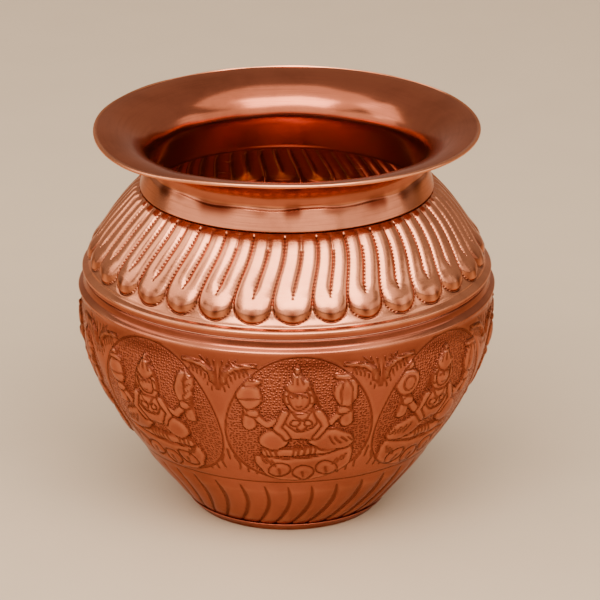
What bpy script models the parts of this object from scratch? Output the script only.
"""Kalash: a round-bellied copper water pot for ritual use, built from spun sheet shells.

Seven pieces: a bowl, a shoulder, a flared mouth with its collar and a shallow base pan,
lapped into each other, and the three rings of brazing metal that run round the laps inside.
All sizes are in metres. The axis of the pot is Z and the floor it stands on is z = 0.
"""

import math

import bpy

NAME = "kalash_pot"

# ------------------------------------------------------------------ driving dimensions
BELLY_RADIUS = 0.0625       # widest outside radius of the body
BELLY_HEIGHT = 0.064        # floor to the widest part
BASE_RADIUS = 0.0277        # where the body curve would meet the floor
SHOULDER_RISE = 0.037       # widest part to the neck line
NECK_RADIUS = 0.0441        # body curve at the neck line
MOUTH_RISE = 0.019          # neck line to the top of the lip
COLLAR_HEIGHT = 0.005       # neck line to where the flare starts
COLLAR_FOOT = 0.0002        # how far the collar's foot stands outside the neck line
THROAT_RADIUS = 0.0431      # outside of the collar at its narrowest
MOUTH_RADIUS = 0.058        # outside of the lip

WALL = 0.0008               # sheet of the bowl, shoulder and mouth
PAN_WALL = 0.0006           # sheet of the base pan
JOINT_GAP = 0.0003          # clearance at every lap

SEAM_RISE = 0.0102          # widest part to the belly seam
LAP = 0.003                 # how far one shell reaches inside the next
BEAD_OFFSET = 0.0025        # belly seam to the crown of the swaged bead on each side of it
BEAD_WIDTH = 0.0034
BEAD_HEIGHT = 0.0007
PAN_RIM = 0.0024            # height of the pan's turned-up rim
FILLET = 0.0016             # leg of each brazed fillet

STEPS = 64                  # facets round the axis
FLARE_POINTS = 7            # outline points along the flare
DOME_POINTS = 7             # along the shoulder
BOWL_POINTS = 10            # along the bowl

COPPER = ("copper_sheet", (0.62, 0.235, 0.125, 1.0), 0.27)       # name, colour, roughness
COPPER_PLATE = ("copper_base", (0.55, 0.205, 0.110, 1.0), 0.34)
BRAZE = ("brazing_metal", (0.68, 0.47, 0.22, 1.0), 0.42)

# ------------------------------------------------------------------ places that follow
NECK_Z = BELLY_HEIGHT + SHOULDER_RISE
TOP_Z = NECK_Z + MOUTH_RISE
FLARE_Z = NECK_Z + COLLAR_HEIGHT
SEAM_Z = BELLY_HEIGHT + SEAM_RISE
UPPER_BEAD_Z = SEAM_Z + BEAD_OFFSET
LOWER_BEAD_Z = SEAM_Z - BEAD_OFFSET
BOWL_EDGE_Z = PAN_WALL + JOINT_GAP


# ------------------------------------------------------------------ the body curve
def body_radius(z):
    """Outside radius of the body at height z: a sine up to the belly, then a soft dome."""
    if z <= BELLY_HEIGHT:
        swell = math.sin(0.5 * math.pi * max(z, 0.0) / BELLY_HEIGHT) ** 1.05
        return BASE_RADIUS + (BELLY_RADIUS - BASE_RADIUS) * swell
    rise = (z - BELLY_HEIGHT) / SHOULDER_RISE
    return NECK_RADIUS + (BELLY_RADIUS - NECK_RADIUS) * (1.0 - rise ** 2.2)


def outward(z):
    """Unit outward normal (radial, vertical) of the body curve at height z."""
    step = 1e-5
    slope = (body_radius(z + step) - body_radius(z)) / step
    length = math.hypot(1.0, slope)
    return 1.0 / length, -slope / length


def offset_radius(z, distance):
    """Radius at height z of the body curve pushed out by distance, measured square to it."""
    return body_radius(z) + distance / outward(z)[0]


def inside_point(z, depth):
    """(radius, height) reached from the body curve at height z by going in, square to it."""
    radial, vertical = outward(z)
    return body_radius(z) - depth * radial, z - depth * vertical


def inside_height(radius):
    """Height on the shoulder where a piece one joint gap inside the sheet has this radius."""
    low, high = BELLY_HEIGHT, NECK_Z
    for _ in range(40):
        middle = 0.5 * (low + high)
        if offset_radius(middle, -WALL - JOINT_GAP) > radius:
            low = middle
        else:
            high = middle
    return low


def beaded_radius(z, crown):
    """Body radius at height z with one swaged bead whose crown is at height crown."""
    reach = min(abs(z - crown) / (0.5 * BEAD_WIDTH), 1.0)
    return body_radius(z) + 0.5 * BEAD_HEIGHT * (1.0 + math.cos(math.pi * reach))


def bead_heights(crown):
    """Heights that outline a bead, from its top edge to its bottom edge."""
    return [crown + 0.5 * BEAD_WIDTH * share for share in (1.0, 0.5, 0.0, -0.5, -1.0)]


def spaced(start, end, count):
    """count heights from start to end, both included."""
    return [start + (end - start) * i / (count - 1) for i in range(count)]


# ------------------------------------------------------------------ outlines, (radius, height)
def spigot_radius():
    """Outside of the mouth's spigot, which clears the inner edge of the neck hole."""
    return NECK_RADIUS - WALL * outward(NECK_Z)[0] - JOINT_GAP


def mouth_outline():
    """Lip, flare, collar and its foot on the neck line, then the spigot inside the shoulder."""
    reach, drop = MOUTH_RADIUS - THROAT_RADIUS, TOP_Z - WALL - FLARE_Z
    foot_z = NECK_Z + JOINT_GAP
    points = []
    for turn in spaced(math.radians(90.0), math.radians(8.0), FLARE_POINTS):
        points.append((THROAT_RADIUS + reach * (1.0 - math.cos(turn)),
                       FLARE_Z + drop * math.sin(turn)))
    points.append((THROAT_RADIUS, FLARE_Z))
    points.append((0.7 * THROAT_RADIUS + 0.3 * NECK_RADIUS, 0.5 * (FLARE_Z + foot_z)))
    points.append((NECK_RADIUS + COLLAR_FOOT, foot_z))
    points.append((spigot_radius(), foot_z))
    points.append((spigot_radius(), NECK_Z - LAP))
    return points


def shoulder_outline():
    """Neck hole, dome and upper bead, down to the edge at the belly seam."""
    dome = spaced(NECK_Z, UPPER_BEAD_Z + 0.5 * BEAD_WIDTH, DOME_POINTS)
    heights = dome[:-1] + bead_heights(UPPER_BEAD_Z) + [SEAM_Z + 0.5 * JOINT_GAP]
    return [(beaded_radius(z, UPPER_BEAD_Z), z) for z in heights]


def bowl_outline():
    """Spigot inside the shoulder, step at the seam, lower bead, and the belly down to the pan."""
    step_z = SEAM_Z - 0.5 * JOINT_GAP
    spigot = [inside_point(z, WALL + JOINT_GAP) for z in (SEAM_Z + LAP, step_z)]
    belly = spaced(LOWER_BEAD_Z - 0.5 * BEAD_WIDTH, BOWL_EDGE_Z, BOWL_POINTS)
    heights = [step_z] + bead_heights(LOWER_BEAD_Z) + belly[1:]
    return spigot + [(beaded_radius(z, LOWER_BEAD_Z), z) for z in heights]


def pan_outline():
    """Turned-up rim that holds the bowl's edge, and the flat disc that stands on the floor."""
    rim = [(offset_radius(z, JOINT_GAP + PAN_WALL), z) for z in spaced(PAN_RIM, 0.0, 3)]
    return rim + [(0.0, 0.0)]


def neck_fillet():
    """Section of the braze under the shoulder, against the mouth's spigot."""
    near = spigot_radius() + JOINT_GAP
    far = near + FILLET
    return [(near, inside_height(near)), (far, inside_height(far)), (near, inside_height(far))]


def wall_fillet(low_z):
    """Section of a braze inside the body wall, its flat side at height low_z."""
    top_z = low_z + FILLET
    near = offset_radius(low_z, -WALL - JOINT_GAP)
    return [(offset_radius(top_z, -WALL - JOINT_GAP), top_z), (near, low_z),
            (near - FILLET, low_z)]


# ------------------------------------------------------------------ making the pieces
def make_material(name, colour, roughness):
    """A plain metal."""
    material = bpy.data.materials.new(name)
    material.use_nodes = True
    shader = material.node_tree.nodes["Principled BSDF"]
    shader.inputs["Base Color"].default_value = colour
    shader.inputs["Roughness"].default_value = roughness
    shader.inputs["Metallic"].default_value = 1.0
    return material


def turned(name, outline, seat_z, material, axis, collection, wall=None):
    """Turn an outline round the pot's axis: an open sheet of thickness wall, or a solid ring.

    The object's origin is on the axis at seat_z, the height where the piece sits.
    """
    points = [(radius, 0.0, z - seat_z) for radius, z in outline]
    edges = [(i, i + 1) for i in range(len(points) - 1)]
    if wall is None:
        edges.append((len(points) - 1, 0))
    mesh = bpy.data.meshes.new(name)
    mesh.from_pydata(points, edges, [])
    mesh.materials.append(material)
    piece = bpy.data.objects.new(name, mesh)
    collection.objects.link(piece)
    piece.parent = axis
    piece.location = (0.0, 0.0, seat_z)
    screw = piece.modifiers.new("turn", "SCREW")
    screw.steps = STEPS
    screw.render_steps = STEPS
    screw.use_merge_vertices = True
    screw.merge_threshold = 1e-5
    screw.use_smooth_shade = True
    if wall is not None:
        sheet = piece.modifiers.new("sheet", "SOLIDIFY")
        sheet.thickness = wall
        sheet.offset = -1.0
        sheet.use_even_offset = True
    return piece


def main():
    """Clear the scene and build the pot on its axis."""
    for old in list(bpy.data.objects):
        bpy.data.objects.remove(old)
    collection = bpy.data.collections.new(NAME)
    bpy.context.scene.collection.children.link(collection)
    axis = bpy.data.objects.new("pot_axis", None)
    axis.empty_display_size = 0.02
    collection.objects.link(axis)

    copper = make_material(*COPPER)
    plate = make_material(*COPPER_PLATE)
    braze = make_material(*BRAZE)
    turned("base_pan", pan_outline(), 0.0, plate, axis, collection, PAN_WALL)
    turned("bowl", bowl_outline(), BOWL_EDGE_Z, copper, axis, collection, WALL)
    turned("shoulder", shoulder_outline(), SEAM_Z, copper, axis, collection, WALL)
    turned("mouth", mouth_outline(), NECK_Z, copper, axis, collection, WALL)
    turned("base_braze", wall_fillet(BOWL_EDGE_Z), BOWL_EDGE_Z, braze, axis, collection)
    turned("belly_braze", wall_fillet(SEAM_Z + LAP + JOINT_GAP), SEAM_Z, braze, axis, collection)
    turned("neck_braze", neck_fillet(), NECK_Z, braze, axis, collection)


main()
